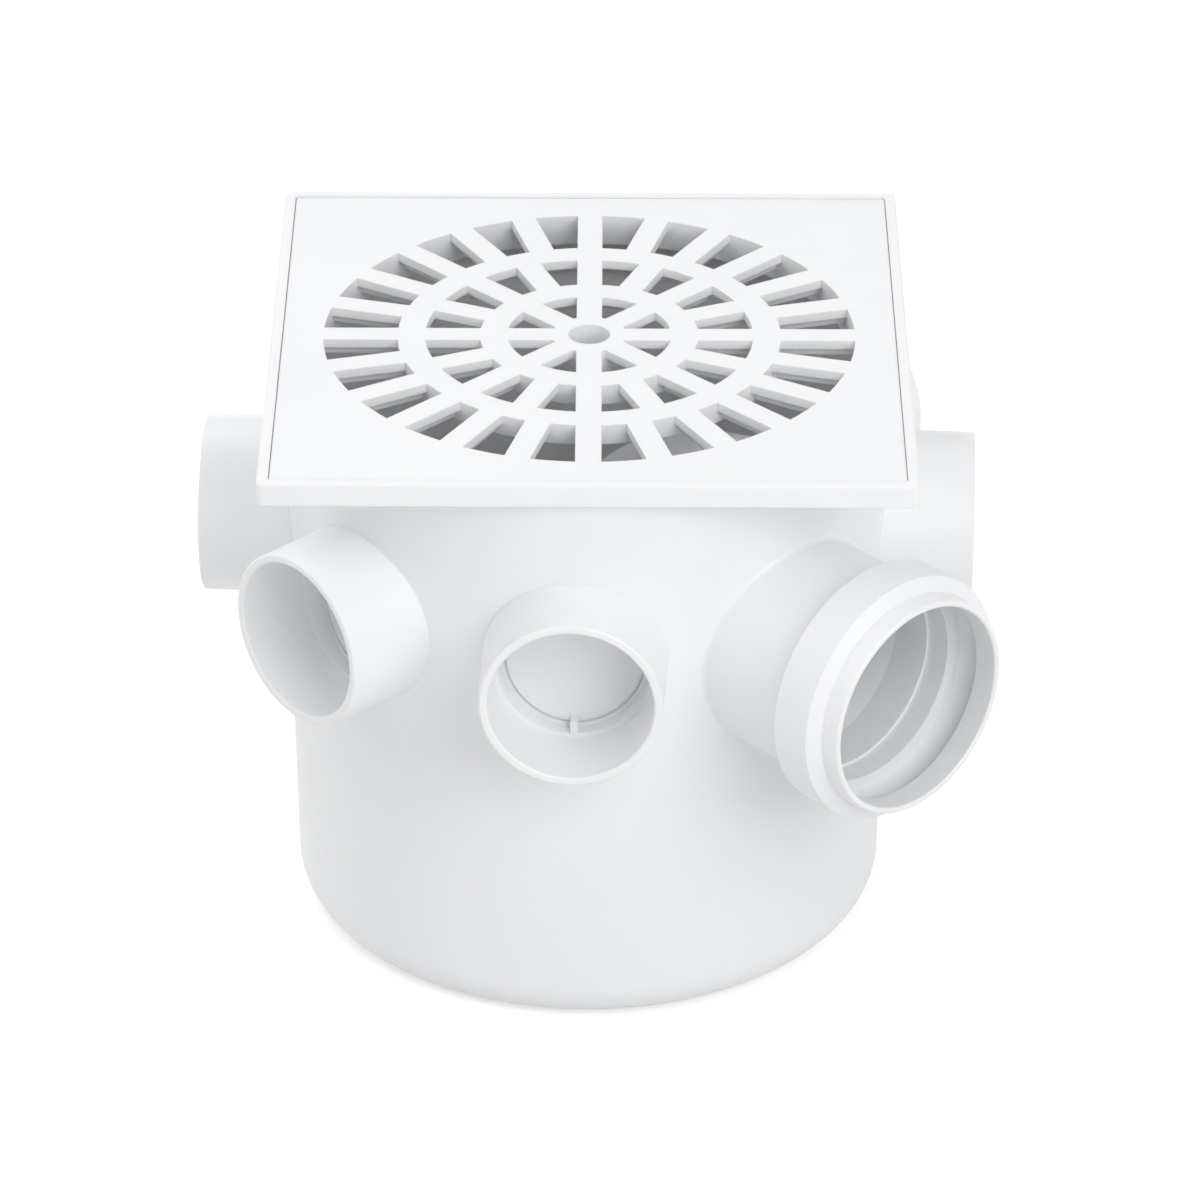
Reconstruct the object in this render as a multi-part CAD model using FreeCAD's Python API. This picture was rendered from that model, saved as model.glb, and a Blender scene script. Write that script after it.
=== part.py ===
import FreeCAD, Part
import os

from FreeCAD import Vector

# Trapped floor drain in white PVC: a round pot with seven pipe inlets and one outlet,
# a hood and plug that make the water trap inside it, a square frame and a slotted grille.
# Millimetres and degrees. The origin is the centre of the pot's underside, +Z is up,
# the ports stand every 45 degrees and the front inlet points along -Y.

# Pot
POT_HEIGHT = 151.5
POT_MOUTH_RADIUS = 77.7
POT_FOOT_RADIUS = 75.35
POT_FOOT_ROUNDING = 10.0
POT_INSIDE_BEVEL = 5.2
WALL = 2.4

# Ports: seven inlets and the outlet
PORT_STEP = 45.0
OUTLET_ANGLE = -45.0
PORT_LEAD = 0.4
INLET_ANGLES = [OUTLET_ANGLE + PORT_STEP * step for step in range(1, 8)]

# Inlet sockets, cemented on pipe of 40 mm
INLET_HEIGHT = 106.3
INLET_REACH = 97.5
INLET_BORE_RADIUS = 20.15
INLET_WALL = 2.15
INLET_DRAFT = 0.4
INLET_SOCKET_DEPTH = 19.0
KNOCK_OUT_RADIUS = 16.9
KNOCK_OUT_THROAT_RADIUS = 18.8
KNOCK_OUT_WALL = 1.2
KNOCK_OUT_GROOVE_WALL = 0.6
KNOCK_OUT_GROOVE_WIDTH = 0.6
KNOCK_OUT_TAB_WIDTH = 2.0
KNOCK_OUT_TAB_HEIGHT = 3.2

# Outlet socket, pushed on pipe of 50 mm with a ring in its groove
OUTLET_HEIGHT = 100.5
OUTLET_REACH = 119.0
OUTLET_MOUTH_RADIUS = 26.4
OUTLET_MOUTH_DEPTH = 6.8
OUTLET_RIM_WALL = 1.6
OUTLET_GROOVE_RADIUS = 29.6
OUTLET_GROOVE_WIDTH = 8.9
OUTLET_BORE_RADIUS = 25.6
OUTLET_STOP = 96.6
OUTLET_THROAT_RADIUS = 25.0
OUTLET_TAPER_START = 86.0
OUTLET_NECK_BORE_RADIUS = 22.8
OUTLET_NECK_RADIUS = 27.5
OUTLET_ROOT_FILLET = 1.2
OUTLET_FRONT_WALL = 2.0
OUTLET_HOUSING_EDGE = 0.6

# Frame and grille, turned a little against the pot
FRAME_TURN = 2.4
FRAME_SIDE = 159.2
FRAME_HEIGHT = 5.8
FRAME_CORNER_RADIUS = 1.8
FRAME_EDGE = 0.4
FRAME_LEDGE = 2.2
FRAME_OPENING_RADIUS = 70.0
SPIGOT_RADIUS = 74.8
SPIGOT_WALL = 2.0
SPIGOT_DEPTH = 14.0
GRILLE_SIDE = 153.3
GRILLE_GAP = 0.15
GRILLE_BELOW_FRAME = 0.5
GRILLE_CORNER_RADIUS = 1.0
GRILLE_PLATE = 2.4
GRILLE_LIP_WIDTH = 2.5
BAR_WIDTH = 6.4
SLOT_RINGS = [(9.4, 20.5, 8), (27.4, 41.0, 16), (48.0, 66.5, 24)]
RIB_WIDTH = 2.6
RADIAL_RIB_DEPTH = 4.8
RING_RIB_DEPTH = 5.4
RING_RIB_WIDTH = 2.0
HUB_HOLE_RADIUS = 5.2
HUB_DEPTH = 6.4
COLLAR_DEPTH = 8.2
COLLAR_WALL = 2.5

# Trap hood and its plug
SEAL_DEPTH = 50.0
HOOD_RADIUS = 28.0
HOOD_WALL = 2.2
HOOD_CENTRE = 42.0
HOOD_TOP = 131.0
PLUG_RADIUS = 16.0
PLUG_GAP = 0.2
PLUG_FLANGE_RADIUS = 19.0
PLUG_FLANGE_THICKNESS = 2.0
PLUG_SKIRT_DEPTH = 7.0
PLUG_WALL = 1.8
GRIP_LENGTH = 26.0
GRIP_WIDTH = 3.0
GRIP_HEIGHT = 7.0

Z_AXIS = Vector(0, 0, 1)
X_AXIS = Vector(1, 0, 0)
ORIGIN = Vector(0, 0, 0)
BEYOND = 1.0
CLOSE = 0.1
CUBIC_CENTIMETRE = 1000.0

FRAME_TOP = POT_HEIGHT + FRAME_HEIGHT
LEDGE_TOP = POT_HEIGHT + FRAME_LEDGE
GRILLE_TOP = FRAME_TOP - GRILLE_BELOW_FRAME
OUTLET_GROOVE_FRONT = OUTLET_REACH - OUTLET_MOUTH_DEPTH
OUTLET_GROOVE_BACK = OUTLET_GROOVE_FRONT - OUTLET_GROOVE_WIDTH
OUTLET_INVERT = OUTLET_HEIGHT - OUTLET_NECK_BORE_RADIUS
HOOD_FOOT = OUTLET_INVERT - SEAL_DEPTH


def upright(radius, low, high):
    """Cylinder about the pot's axis between two heights."""
    return Part.makeCylinder(radius, high - low, Vector(0, 0, low))


def tube(inner, outer, low, high):
    """Ring about the pot's axis between two heights."""
    return upright(outer, low, high).cut(upright(inner, low - BEYOND, high + BEYOND))


def rounded_square(side, corner, low, high):
    """Square block on the pot's axis with rounded upright corners."""
    block = Part.makeBox(side, side, high - low, Vector(-side / 2, -side / 2, low))
    corners = [edge for edge in block.Edges if edge.BoundBox.ZLength > CLOSE]
    return block.makeFillet(corner, corners)


def turned(outline):
    """Solid turned about X from (distance along X, radius) points."""
    points = [Vector(along, 0, radius) for along, radius in outline]
    return Part.Face(Part.makePolygon(points + points[:1])).revolve(ORIGIN, X_AXIS, 360)


def at_port(shape, angle, height):
    """Copy of a shape made along X, turned to a port's direction at its height."""
    placed = shape.copy()
    placed.rotate(ORIGIN, Z_AXIS, angle)
    placed.translate(Vector(0, 0, height))
    return placed


def pot_core(grown=0.0):
    """Inside of the pot with its bevelled bottom edge, grown outwards by a thickness of wall."""
    core = Part.makeCone(
        POT_FOOT_RADIUS - WALL + grown,
        POT_MOUTH_RADIUS - WALL + grown,
        POT_HEIGHT,
        Vector(0, 0, WALL),
    )
    foot = [edge for edge in core.Edges if abs(edge.CenterOfMass.z - WALL) < CLOSE and edge.Closed]
    return core.makeChamfer(POT_INSIDE_BEVEL, foot)


def pot_outside():
    """Tapered pot with its rounded foot, still solid."""
    pot = Part.makeCone(POT_FOOT_RADIUS, POT_MOUTH_RADIUS, POT_HEIGHT)
    foot = [edge for edge in pot.Edges if abs(edge.CenterOfMass.z) < CLOSE and edge.Closed]
    return pot.makeFillet(POT_FOOT_ROUNDING, foot)


def inlet_outside():
    """Drafted outside of an inlet socket, from inside the pot to its chamfered rim."""
    rim = INLET_BORE_RADIUS + INLET_WALL
    return turned([
        (POT_MOUTH_RADIUS / 2, 0),
        (POT_MOUTH_RADIUS / 2, rim + INLET_DRAFT),
        (POT_MOUTH_RADIUS, rim + INLET_DRAFT),
        (INLET_REACH - PORT_LEAD, rim),
        (INLET_REACH, rim - PORT_LEAD),
        (INLET_REACH, 0),
    ])


def inlet_hollow():
    """Socket bore, then a throat that stops short of the pot's inside and leaves the knock-out disc."""
    shoulder = INLET_REACH - INLET_SOCKET_DEPTH
    bore = turned([
        (shoulder, 0),
        (shoulder, INLET_BORE_RADIUS),
        (INLET_REACH - PORT_LEAD, INLET_BORE_RADIUS),
        (INLET_REACH, INLET_BORE_RADIUS + PORT_LEAD),
        (INLET_REACH + BEYOND, INLET_BORE_RADIUS + PORT_LEAD),
        (INLET_REACH + BEYOND, 0),
    ])
    inside = POT_MOUTH_RADIUS - WALL - KNOCK_OUT_THROAT_RADIUS / 2
    throat = Part.makeCylinder(
        KNOCK_OUT_THROAT_RADIUS, shoulder - inside, Vector(inside, 0, 0), X_AXIS
    )
    disc = Part.makeCylinder(KNOCK_OUT_RADIUS, shoulder - inside, Vector(inside, 0, 0), X_AXIS)
    groove_radius = KNOCK_OUT_RADIUS + KNOCK_OUT_GROOVE_WIDTH
    groove = Part.makeCylinder(groove_radius, shoulder - inside, Vector(inside, 0, 0), X_AXIS).cut(disc)
    tab = Part.makeBox(
        shoulder - inside,
        KNOCK_OUT_TAB_WIDTH,
        KNOCK_OUT_TAB_HEIGHT + BEYOND,
        Vector(inside, -KNOCK_OUT_TAB_WIDTH / 2, -KNOCK_OUT_THROAT_RADIUS - BEYOND),
    )
    return bore, throat.cut(tab), groove.cut(tab)


def outlet_outside():
    """Neck, stepped ring housing with a sloped front, and thin rim of the outlet socket."""
    housing_back = OUTLET_GROOVE_BACK - WALL
    housing_radius = OUTLET_GROOVE_RADIUS + WALL
    rim_root = OUTLET_GROOVE_FRONT + OUTLET_FRONT_WALL
    rim = OUTLET_MOUTH_RADIUS + OUTLET_RIM_WALL
    return turned([
        (POT_MOUTH_RADIUS / 2, 0),
        (POT_MOUTH_RADIUS / 2, OUTLET_NECK_RADIUS),
        (housing_back, OUTLET_NECK_RADIUS),
        (housing_back, housing_radius - OUTLET_HOUSING_EDGE),
        (housing_back + OUTLET_HOUSING_EDGE, housing_radius),
        (OUTLET_GROOVE_FRONT, housing_radius),
        (rim_root, rim + 2 * PORT_LEAD),
        (rim_root, rim + PORT_LEAD),
        (OUTLET_REACH - PORT_LEAD, rim),
        (OUTLET_REACH, rim - PORT_LEAD),
        (OUTLET_REACH, 0),
    ])


def outlet_hollow():
    """Mouth, ring groove, pipe bore with its stop, and the tapered neck of the outlet."""
    return turned([
        (POT_MOUTH_RADIUS / 2, 0),
        (POT_MOUTH_RADIUS / 2, OUTLET_NECK_BORE_RADIUS),
        (POT_MOUTH_RADIUS - WALL, OUTLET_NECK_BORE_RADIUS),
        (OUTLET_TAPER_START, OUTLET_THROAT_RADIUS),
        (OUTLET_STOP, OUTLET_THROAT_RADIUS),
        (OUTLET_STOP, OUTLET_BORE_RADIUS),
        (OUTLET_GROOVE_BACK, OUTLET_BORE_RADIUS),
        (OUTLET_GROOVE_BACK, OUTLET_GROOVE_RADIUS),
        (OUTLET_GROOVE_FRONT, OUTLET_GROOVE_RADIUS),
        (OUTLET_GROOVE_FRONT, OUTLET_MOUTH_RADIUS),
        (OUTLET_REACH - PORT_LEAD, OUTLET_MOUTH_RADIUS),
        (OUTLET_REACH, OUTLET_MOUTH_RADIUS + PORT_LEAD),
        (OUTLET_REACH + BEYOND, OUTLET_MOUTH_RADIUS + PORT_LEAD),
        (OUTLET_REACH + BEYOND, 0),
    ])


def pot_with_outlet():
    """Solid pot and outlet, blended by a fillet round the outlet's root."""
    joined = pot_outside().fuse(at_port(outlet_outside(), OUTLET_ANGLE, OUTLET_HEIGHT))
    root = [
        edge for edge in joined.Edges
        if isinstance(edge.Curve, Part.BSplineCurve) and edge.BoundBox.DiagonalLength > OUTLET_NECK_RADIUS
    ]
    return joined.makeFillet(OUTLET_ROOT_FILLET, root)


def make_body():
    """Pot and its eight ports, one moulding."""
    inlets = [at_port(inlet_outside(), angle, INLET_HEIGHT) for angle in INLET_ANGLES]
    body = pot_with_outlet().multiFuse(inlets).removeSplitter()
    body = body.cut(pot_core())
    bore, throat, groove = inlet_hollow()
    behind_disc = pot_core(KNOCK_OUT_WALL)
    behind_groove = pot_core(KNOCK_OUT_GROOVE_WALL)
    hollows = [at_port(outlet_hollow(), OUTLET_ANGLE, OUTLET_HEIGHT)]
    for angle in INLET_ANGLES:
        hollows.append(at_port(bore, angle, INLET_HEIGHT))
        hollows.append(at_port(throat, angle, INLET_HEIGHT).cut(behind_disc))
        hollows.append(at_port(groove, angle, INLET_HEIGHT).cut(behind_groove))
    for hollow in hollows:
        body = body.cut(hollow)
    return body


def make_grille_frame():
    """Square rim and ledge for the grille, with a round spigot that drops into the pot."""
    rim = rounded_square(FRAME_SIDE, FRAME_CORNER_RADIUS, POT_HEIGHT, FRAME_TOP)
    top_edges = [edge for edge in rim.Edges if abs(edge.BoundBox.ZMin - FRAME_TOP) < CLOSE]
    rim = rim.makeChamfer(FRAME_EDGE, top_edges)
    pocket_side = GRILLE_SIDE + 2 * GRILLE_GAP
    pocket = rounded_square(pocket_side, GRILLE_CORNER_RADIUS, LEDGE_TOP, FRAME_TOP + BEYOND)
    opening = upright(FRAME_OPENING_RADIUS, POT_HEIGHT - BEYOND, FRAME_TOP)
    spigot = tube(SPIGOT_RADIUS - SPIGOT_WALL, SPIGOT_RADIUS, POT_HEIGHT - SPIGOT_DEPTH, POT_HEIGHT)
    frame = rim.cut(pocket).cut(opening).fuse(spigot).removeSplitter()
    frame.rotate(ORIGIN, Z_AXIS, FRAME_TURN)
    return frame


def radial_bars(count, width, inner, outer, depth):
    """Bars standing out from the axis like spokes, hung from the grille's top."""
    bars = []
    for index in range(count):
        bar = Part.makeBox(
            outer - inner, width, depth, Vector(inner, -width / 2, GRILLE_TOP - depth)
        )
        bar.rotate(ORIGIN, Z_AXIS, index * 360.0 / count)
        bars.append(bar)
    return bars


def slot_ring(inner, outer, count):
    """Ring of slots parted by parallel-sided bars."""
    low = GRILLE_TOP - COLLAR_DEPTH - BEYOND
    ring = tube(inner, outer, low, GRILLE_TOP + BEYOND)
    reach = outer + BEYOND
    bars = radial_bars(count, BAR_WIDTH, 0, reach, COLLAR_DEPTH + 2 * BEYOND)
    for bar in bars:
        bar.translate(Vector(0, 0, BEYOND))
    return ring.cut(bars)


def grille_ribs():
    """Spoke ribs under the bars, a rib under each ring, the hub and the collar round the slots."""
    inner_ring, middle_ring, outer_ring = SLOT_RINGS
    ribs = []
    for inner, outer, count in (middle_ring, outer_ring):
        start = inner - RING_RIB_WIDTH / 2
        ribs += radial_bars(count, RIB_WIDTH, start, outer + BEYOND, RADIAL_RIB_DEPTH)
        ribs.append(tube(inner - RING_RIB_WIDTH, inner, GRILLE_TOP - RING_RIB_DEPTH, GRILLE_TOP))
    ribs.append(upright(inner_ring[0], GRILLE_TOP - HUB_DEPTH, GRILLE_TOP))
    collar = outer_ring[1]
    ribs.append(tube(collar, collar + COLLAR_WALL, GRILLE_TOP - COLLAR_DEPTH, GRILLE_TOP))
    return ribs


def make_grille():
    """Square plate with three rings of slots, stiffened below and resting on a thin lip."""
    plate_low = GRILLE_TOP - GRILLE_PLATE
    plate = rounded_square(GRILLE_SIDE, GRILLE_CORNER_RADIUS, plate_low, GRILLE_TOP)
    lip = rounded_square(GRILLE_SIDE, GRILLE_CORNER_RADIUS, LEDGE_TOP, GRILLE_TOP)
    inside = GRILLE_SIDE - 2 * GRILLE_LIP_WIDTH
    lip = lip.cut(rounded_square(inside, GRILLE_CORNER_RADIUS, LEDGE_TOP - BEYOND, GRILLE_TOP))
    slots = [slot_ring(*ring) for ring in SLOT_RINGS]
    hub_hole = upright(HUB_HOLE_RADIUS, GRILLE_TOP - HUB_DEPTH - BEYOND, GRILLE_TOP + BEYOND)
    grille = plate.cut(slots).multiFuse([lip] + grille_ribs()).cut(hub_hole).removeSplitter()
    grille.rotate(ORIGIN, Z_AXIS, FRAME_TURN)
    return grille


def hood_block(radius, low, high):
    """Block rounded towards the pot's axis and running straight out past the outlet's wall."""
    nose = Part.makeCylinder(radius, high - low, Vector(HOOD_CENTRE, 0, low))
    length = POT_MOUTH_RADIUS - HOOD_CENTRE
    run = Part.makeBox(length, 2 * radius, high - low, Vector(HOOD_CENTRE, -radius, low))
    return nose.fuse(run).removeSplitter()


def make_trap_hood():
    """Hood over the outlet, open below its foot and towards the pot's wall, with a plug hole on top."""
    outside = hood_block(HOOD_RADIUS, HOOD_FOOT, HOOD_TOP)
    inside = hood_block(HOOD_RADIUS - HOOD_WALL, HOOD_FOOT - BEYOND, HOOD_TOP - HOOD_WALL)
    hole_height = HOOD_WALL + 2 * BEYOND
    hole_at = Vector(HOOD_CENTRE, 0, HOOD_TOP - HOOD_WALL - BEYOND)
    hole = Part.makeCylinder(PLUG_RADIUS, hole_height, hole_at)
    hood = outside.cut(inside).cut(hole)
    hood.rotate(ORIGIN, Z_AXIS, OUTLET_ANGLE)
    return hood.common(pot_core())


def make_cleanout_plug():
    """Hollow plug with a flange that stops on the hood and a bar to grip it by."""
    centre = Vector(HOOD_CENTRE, 0, 0)
    skirt_low = HOOD_TOP - PLUG_SKIRT_DEPTH
    skirt_radius = PLUG_RADIUS - PLUG_GAP
    skirt = upright(skirt_radius, skirt_low, HOOD_TOP + PLUG_FLANGE_THICKNESS)
    flange = upright(PLUG_FLANGE_RADIUS, HOOD_TOP, HOOD_TOP + PLUG_FLANGE_THICKNESS)
    hollow = upright(skirt_radius - PLUG_WALL, skirt_low - BEYOND, HOOD_TOP)
    grip_low = HOOD_TOP + PLUG_FLANGE_THICKNESS
    grip = Part.makeBox(
        GRIP_WIDTH, GRIP_LENGTH, GRIP_HEIGHT, Vector(-GRIP_WIDTH / 2, -GRIP_LENGTH / 2, grip_low)
    )
    plug = skirt.fuse(flange).cut(hollow).fuse(grip).removeSplitter()
    plug.translate(centre)
    plug.rotate(ORIGIN, Z_AXIS, OUTLET_ANGLE)
    return plug


def main():
    """Every piece, written to a file of its own."""
    pieces = {
        "body": make_body(),
        "trap_hood": make_trap_hood(),
        "cleanout_plug": make_cleanout_plug(),
        "grille_frame": make_grille_frame(),
        "grille": make_grille(),
    }
    os.makedirs("parts", exist_ok=True)
    for name, shape in pieces.items():
        volume = round(shape.Volume / CUBIC_CENTIMETRE, 2)
        print(name, "solids", len(shape.Solids), "valid", shape.isValid(), "cm3", volume)
        shape.exportStep(f"parts/{name}.step")


main()
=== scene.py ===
import math

import bpy
from mathutils import Matrix, Vector

# Trapped floor drain in white PVC, on a pale floor under soft light.
# Metres and degrees; the lens and the sensor are in millimetres.

MM = 0.001

# Camera: how high, how far round and how tilted it stands, its lens, and where the grille's top lies from it
CAMERA_ELEVATION = 29.94
CAMERA_TURN = 2.45
CAMERA_ROLL = 0.17
CAMERA_LENS = 187.53
SENSOR_WIDTH = 36.0
GRILLE_TOP = Vector((0, 0, 156.8 * MM))
GRILLE_RIGHT_OF_AXIS = -2.68 * MM
GRILLE_ABOVE_AXIS = 66.52 * MM
GRILLE_DISTANCE = 1564.6 * MM

# Light: the sky's level on the object and as it is seen, then each lamp's place, side and power in watts
SKY_WHITE = (1.0, 1.0, 1.0, 1.0)
SKY_LEVEL = 0.56
SKY_SEEN = 1.0
LAMPS = {
    "key": ((0.75, -1.1, 0.95), 1.0, 9.8),
    "fill": ((-1.1, -0.3, 1.3), 1.0, 3.9),
    "back": ((-0.7, 0.9, 1.3), 1.0, 6.9),
}
LAMP_AIM = Vector((0, 0, 0.08))

# Floor: the grey that lights the object from below, and the white of its own that it shows near and far
FLOOR_SIZE = 8.0
FLOOR_GREY = (0.75, 0.75, 0.75, 1.0)
FLOOR_NEAR = 0.2
FLOOR_NEAR_WHITE = 0.45
FLOOR_FAR = 0.7
FLOOR_FAR_WHITE = 1.0

# White PVC: its clean colour, its clouding, and the lighter colour painted on edges as a highlight
PVC_WHITE = (0.921, 0.928, 0.938, 1.0)
PVC_CLOUD = (0.900, 0.909, 0.922, 1.0)
PVC_EDGE_HIGHLIGHT = (0.943, 0.947, 0.952, 1.0)
CLOUD_DETAIL = 3.0
CLOUD_STARTS = 0.35
CLOUD_FULL = 0.7

# Edges: how round they look, the cosines where the painted edge highlight and dulling are full and none, and
# how a mottle breaks that up
EDGE_ROUNDING = 0.38 * MM
EDGE_SAMPLES = 6
EDGE_HIGHLIGHT_FULL = 0.8
EDGE_HIGHLIGHT_NONE = 0.97
EDGE_MOTTLE = 240.0
MOTTLE_DETAIL = 3.0
MOTTLE_STARTS = 0.35
MOTTLE_FULL = 0.65
MOTTLE_LEAST = 0.2
MOTTLE_MOST = 0.9
EDGE_DULLNESS = 0.12

# Skin: patches of sheen, fine grain and slow waves to the metre, and how deep grain and waves are
SHEEN_PATCHES = 60.0
SHEEN_DETAIL = 4.0
SHEEN_STARTS = 0.3
SHEEN_FULL = 0.7
SKIN_GRAIN = 1400.0
GRAIN_DETAIL = 2.0
GRAIN_RELIEF = 0.003 * MM
SKIN_WAVES = 70.0
WAVE_DETAIL = 1.0
WAVE_RELIEF = 0.04 * MM
FULL_RELIEF = 1.0

# Light scattered inside the plastic: its share, how far it goes, and that reach in red, green and blue
SCATTER_SHARE = 0.15
SCATTER_DEPTH = 6.0 * MM
SCATTER_REACH = (1.0, 0.97, 0.93)

# Each moulding: clouds to the metre, how their scale changes along X, Y and Z, smooth and dull roughness
MOULDINGS = {
    "body": (16.0, (1.0, 1.0, 0.4), 0.33, 0.42),
    "grille_frame": (20.0, (1.0, 1.0, 1.0), 0.32, 0.40),
    "grille": (22.0, (1.0, 1.0, 1.0), 0.32, 0.40),
    "trap_hood": (18.0, (1.0, 1.0, 0.4), 0.36, 0.46),
    "cleanout_plug": (40.0, (1.0, 1.0, 1.0), 0.34, 0.42),
}

# Sockets of the Mix node that belong to colours
MIX_AMOUNT = 0
MIX_FIRST = 6
MIX_SECOND = 7
MIX_COLOUR = 2


class Finish:
    """A material's node tree, with short ways to add what the finishes here are made of."""

    def __init__(self, name):
        self.material = bpy.data.materials.new(name)
        self.material.use_nodes = True
        self.tree = self.material.node_tree
        self.shader = self.tree.nodes["Principled BSDF"]

    def add(self, kind, **settings):
        """New node with its plain settings."""
        node = self.tree.nodes.new(kind)
        for name, value in settings.items():
            setattr(node, name, value)
        return node

    def link(self, source, target):
        """Wire from one node's output to another's input."""
        self.tree.links.new(source, target)

    def noise(self, place, scale, detail):
        """Noise with so many blotches to the metre."""
        node = self.add("ShaderNodeTexNoise")
        node.inputs["Scale"].default_value = scale
        node.inputs["Detail"].default_value = detail
        self.link(place, node.inputs["Vector"])
        return node.outputs["Fac"]

    def ranged(self, value, low, high, to_low, to_high):
        """Values from low to high carried over to another range and held at its ends."""
        node = self.add("ShaderNodeMapRange")
        bounds = {"From Min": low, "From Max": high, "To Min": to_low, "To Max": to_high}
        for name, bound in bounds.items():
            node.inputs[name].default_value = bound
        self.link(value, node.inputs["Value"])
        return node.outputs["Result"]

    def reckon(self, operation, first, second):
        """Two values added, multiplied and so on; the second may be a plain number."""
        node = self.add("ShaderNodeMath", operation=operation)
        self.link(first, node.inputs[0])
        if isinstance(second, float):
            node.inputs[1].default_value = second
        else:
            self.link(second, node.inputs[1])
        return node.outputs[0]

    def blend(self, amount, first, second):
        """Colour between two; the first may be another node's colour."""
        node = self.add("ShaderNodeMix", data_type="RGBA")
        if isinstance(first, tuple):
            node.inputs[MIX_FIRST].default_value = first
        else:
            self.link(first, node.inputs[MIX_FIRST])
        node.inputs[MIX_SECOND].default_value = second
        self.link(amount, node.inputs[MIX_AMOUNT])
        return node.outputs[MIX_COLOUR]

    def relief(self, height, depth, normal):
        """Bumps of a real depth on top of a normal."""
        node = self.add("ShaderNodeBump")
        node.inputs["Strength"].default_value = FULL_RELIEF
        node.inputs["Distance"].default_value = depth
        self.link(height, node.inputs["Height"])
        self.link(normal, node.inputs["Normal"])
        return node.outputs["Normal"]


def moulded_pvc(node_name, clouds, stretch, smooth, dull):
    """White PVC from the mould: clouded along its flow, satin skin, edges rounded, a little duller and
    painted lighter as a highlight.
    """
    finish = Finish(node_name + "_white_pvc")
    place = finish.add("ShaderNodeTexCoord").outputs["Object"]
    flow = finish.add("ShaderNodeMapping")
    flow.inputs["Scale"].default_value = stretch
    finish.link(place, flow.inputs["Vector"])

    rounded = finish.add("ShaderNodeBevel", samples=EDGE_SAMPLES)
    rounded.inputs["Radius"].default_value = EDGE_ROUNDING
    surface = finish.add("ShaderNodeNewGeometry")
    facing = finish.add("ShaderNodeVectorMath", operation="DOT_PRODUCT")
    finish.link(rounded.outputs["Normal"], facing.inputs[0])
    finish.link(surface.outputs["Normal"], facing.inputs[1])
    # Edge mask: where the bevelled normal turns away from the surface's normal, a lighter colour is painted
    # as a highlight and roughness rises, broken up by a mottle
    edge = finish.ranged(facing.outputs["Value"], EDGE_HIGHLIGHT_FULL, EDGE_HIGHLIGHT_NONE, 1.0, 0.0)
    mottle_noise = finish.noise(place, EDGE_MOTTLE, MOTTLE_DETAIL)
    mottle = finish.ranged(mottle_noise, MOTTLE_STARTS, MOTTLE_FULL, MOTTLE_LEAST, MOTTLE_MOST)
    edge_highlight = finish.reckon("MULTIPLY", edge, mottle)

    cloud_noise = finish.noise(flow.outputs["Vector"], clouds, CLOUD_DETAIL)
    clouding = finish.ranged(cloud_noise, CLOUD_STARTS, CLOUD_FULL, 0.0, 1.0)
    colour = finish.blend(clouding, PVC_WHITE, PVC_CLOUD)
    # Painted edge highlight: the edges' colour is made lighter
    finish.link(finish.blend(edge_highlight, colour, PVC_EDGE_HIGHLIGHT), finish.shader.inputs["Base Color"])

    sheen_noise = finish.noise(place, SHEEN_PATCHES, SHEEN_DETAIL)
    sheen = finish.ranged(sheen_noise, SHEEN_STARTS, SHEEN_FULL, smooth, dull)
    edge_dulling = finish.reckon("MULTIPLY", edge_highlight, EDGE_DULLNESS)
    finish.link(finish.reckon("ADD", sheen, edge_dulling), finish.shader.inputs["Roughness"])

    wave_noise = finish.noise(place, SKIN_WAVES, WAVE_DETAIL)
    waves = finish.relief(wave_noise, WAVE_RELIEF, rounded.outputs["Normal"])
    grain_noise = finish.noise(place, SKIN_GRAIN, GRAIN_DETAIL)
    grain = finish.relief(grain_noise, GRAIN_RELIEF, waves)
    finish.link(grain, finish.shader.inputs["Normal"])

    finish.shader.inputs["Subsurface Weight"].default_value = SCATTER_SHARE
    finish.shader.inputs["Subsurface Scale"].default_value = SCATTER_DEPTH
    finish.shader.inputs["Subsurface Radius"].default_value = SCATTER_REACH
    return finish.material


def seen_directly(tree):
    """One for what the camera sees, straight or in gloss and glass, nought for other light."""
    path = tree.nodes.new("ShaderNodeLightPath")
    seen = path.outputs["Is Camera Ray"]
    for kind in ("Is Glossy Ray", "Is Transmission Ray"):
        either = tree.nodes.new("ShaderNodeMath")
        either.operation = "MAXIMUM"
        tree.links.new(seen, either.inputs[0])
        tree.links.new(path.outputs[kind], either.inputs[1])
        seen = either.outputs[0]
    return seen


def pale_floor():
    """Wide floor, nearly white to the camera with the object's shadow on it, and grey to the object."""
    bpy.ops.object.select_all(action="DESELECT")
    bpy.ops.mesh.primitive_plane_add(size=FLOOR_SIZE, location=(0, 0, 0))
    floor = bpy.context.active_object
    floor.name = "floor"
    finish = Finish("pale_floor")
    grey = finish.add("ShaderNodeBsdfDiffuse")
    grey.inputs["Color"].default_value = FLOOR_GREY
    white = finish.add("ShaderNodeEmission")
    away = finish.add("ShaderNodeVectorMath", operation="LENGTH")
    finish.link(finish.add("ShaderNodeTexCoord").outputs["Object"], away.inputs[0])
    own_white = finish.ranged(
        away.outputs["Value"], FLOOR_NEAR, FLOOR_FAR, FLOOR_NEAR_WHITE, FLOOR_FAR_WHITE
    )
    strength = finish.reckon("MULTIPLY", seen_directly(finish.tree), own_white)
    finish.link(strength, white.inputs["Strength"])
    both = finish.add("ShaderNodeAddShader")
    finish.link(grey.outputs[0], both.inputs[0])
    finish.link(white.outputs[0], both.inputs[1])
    finish.link(both.outputs[0], finish.tree.nodes["Material Output"].inputs["Surface"])
    floor.data.materials.append(finish.material)


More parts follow.
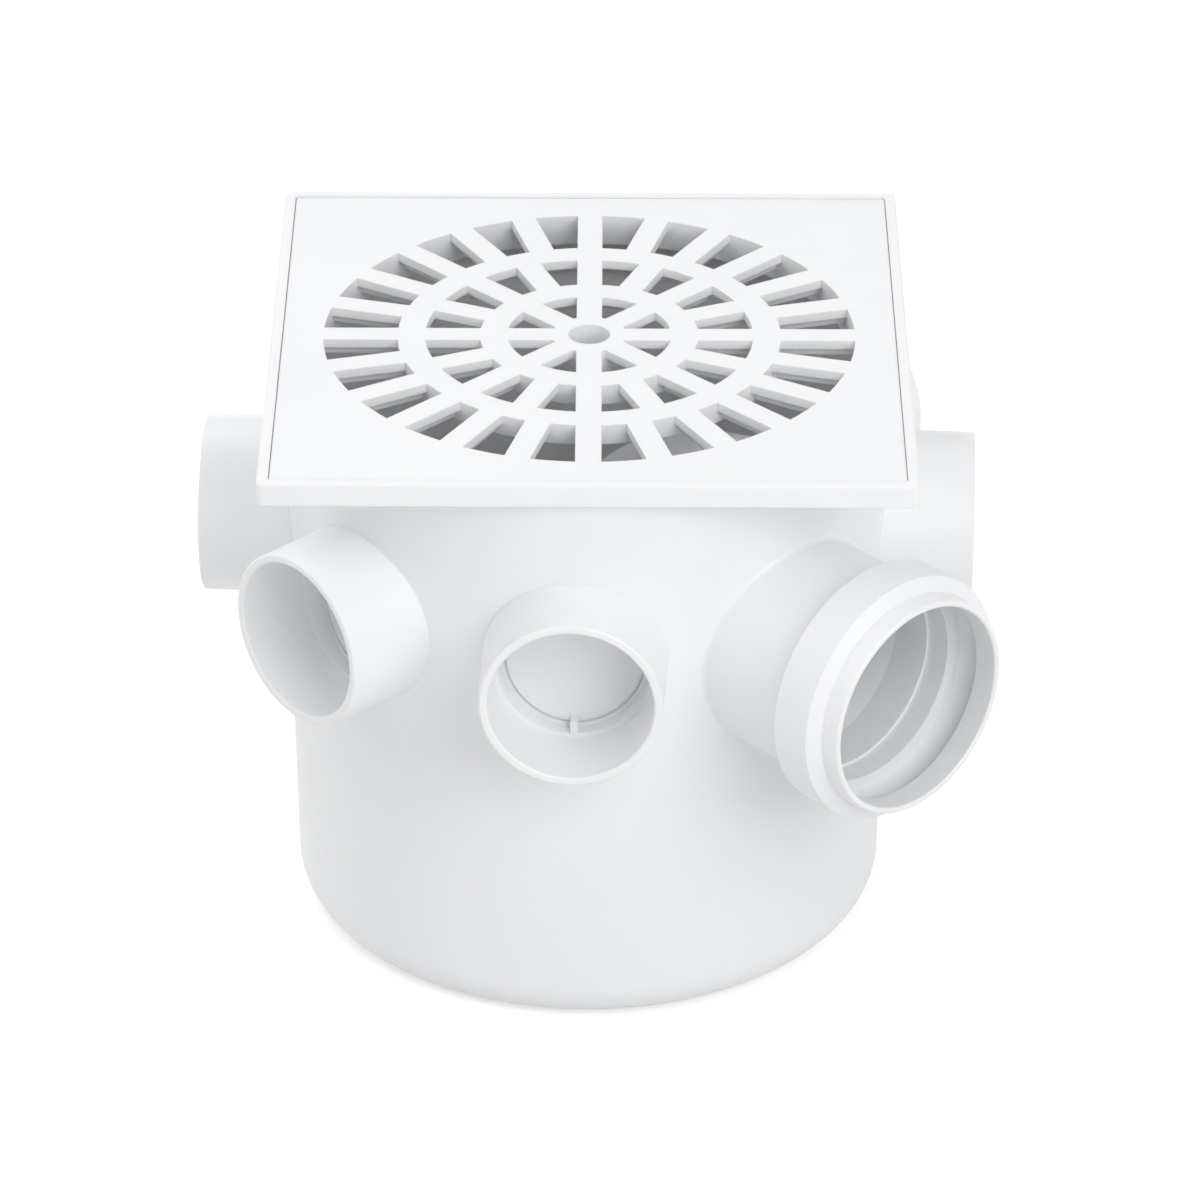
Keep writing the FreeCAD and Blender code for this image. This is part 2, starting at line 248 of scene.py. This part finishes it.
def soft_sky():
    """World that is white to the camera and lights the object evenly at a lower level."""
    world = bpy.data.worlds.new("soft_sky")
    world.use_nodes = True
    tree = world.node_tree
    level = tree.nodes.new("ShaderNodeMapRange")
    level.inputs["To Min"].default_value = SKY_LEVEL
    level.inputs["To Max"].default_value = SKY_SEEN
    tree.links.new(seen_directly(tree), level.inputs["Value"])
    background = tree.nodes["Background"]
    background.inputs["Color"].default_value = SKY_WHITE
    tree.links.new(level.outputs["Result"], background.inputs["Strength"])
    bpy.context.scene.world = world


def soft_lamp(name, place, side, power):
    """Square lamp turned to the object."""
    lamp = bpy.data.lights.new(name, "AREA")
    lamp.shape = "SQUARE"
    lamp.size = side
    lamp.energy = power
    holder = bpy.data.objects.new(name, lamp)
    holder.location = place
    holder.rotation_euler = (LAMP_AIM - Vector(place)).to_track_quat("-Z", "Y").to_euler()
    bpy.context.scene.collection.objects.link(holder)


def place_camera():
    """Camera looking down on the drain from the front, placed by where the grille's top lies from it."""
    high = math.radians(CAMERA_ELEVATION)
    turn = math.radians(CAMERA_TURN)
    roll = math.radians(CAMERA_ROLL)
    level_right = Vector((math.cos(turn), math.sin(turn), 0))
    ahead = Vector((-math.sin(turn) * math.cos(high), math.cos(turn) * math.cos(high), -math.sin(high)))
    level_up = level_right.cross(ahead)
    right = level_right * math.cos(roll) + level_up * math.sin(roll)
    up = level_up * math.cos(roll) - level_right * math.sin(roll)
    eye = GRILLE_TOP - right * GRILLE_RIGHT_OF_AXIS - up * GRILLE_ABOVE_AXIS - ahead * GRILLE_DISTANCE
    stand = Matrix((right, up, -ahead)).transposed().to_4x4()
    stand.translation = eye
    data = bpy.data.cameras.new("camera")
    data.lens = CAMERA_LENS
    data.sensor_width = SENSOR_WIDTH
    camera = bpy.data.objects.new("camera", data)
    camera.matrix_world = stand
    bpy.context.scene.collection.objects.link(camera)
    bpy.context.scene.camera = camera


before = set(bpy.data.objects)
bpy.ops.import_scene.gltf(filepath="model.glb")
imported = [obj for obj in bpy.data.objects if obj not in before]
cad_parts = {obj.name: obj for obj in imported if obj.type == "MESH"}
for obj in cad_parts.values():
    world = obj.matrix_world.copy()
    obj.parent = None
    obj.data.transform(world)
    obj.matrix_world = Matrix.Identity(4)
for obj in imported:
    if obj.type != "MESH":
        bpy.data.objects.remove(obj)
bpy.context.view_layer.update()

for node_name, moulding in MOULDINGS.items():
    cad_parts[node_name].material_slots[0].material = moulded_pvc(node_name, *moulding)

pale_floor()
soft_sky()
for lamp_name, (place, side, power) in LAMPS.items():
    soft_lamp(lamp_name, place, side, power)
place_camera()
bpy.context.scene.view_settings.view_transform = "Standard"
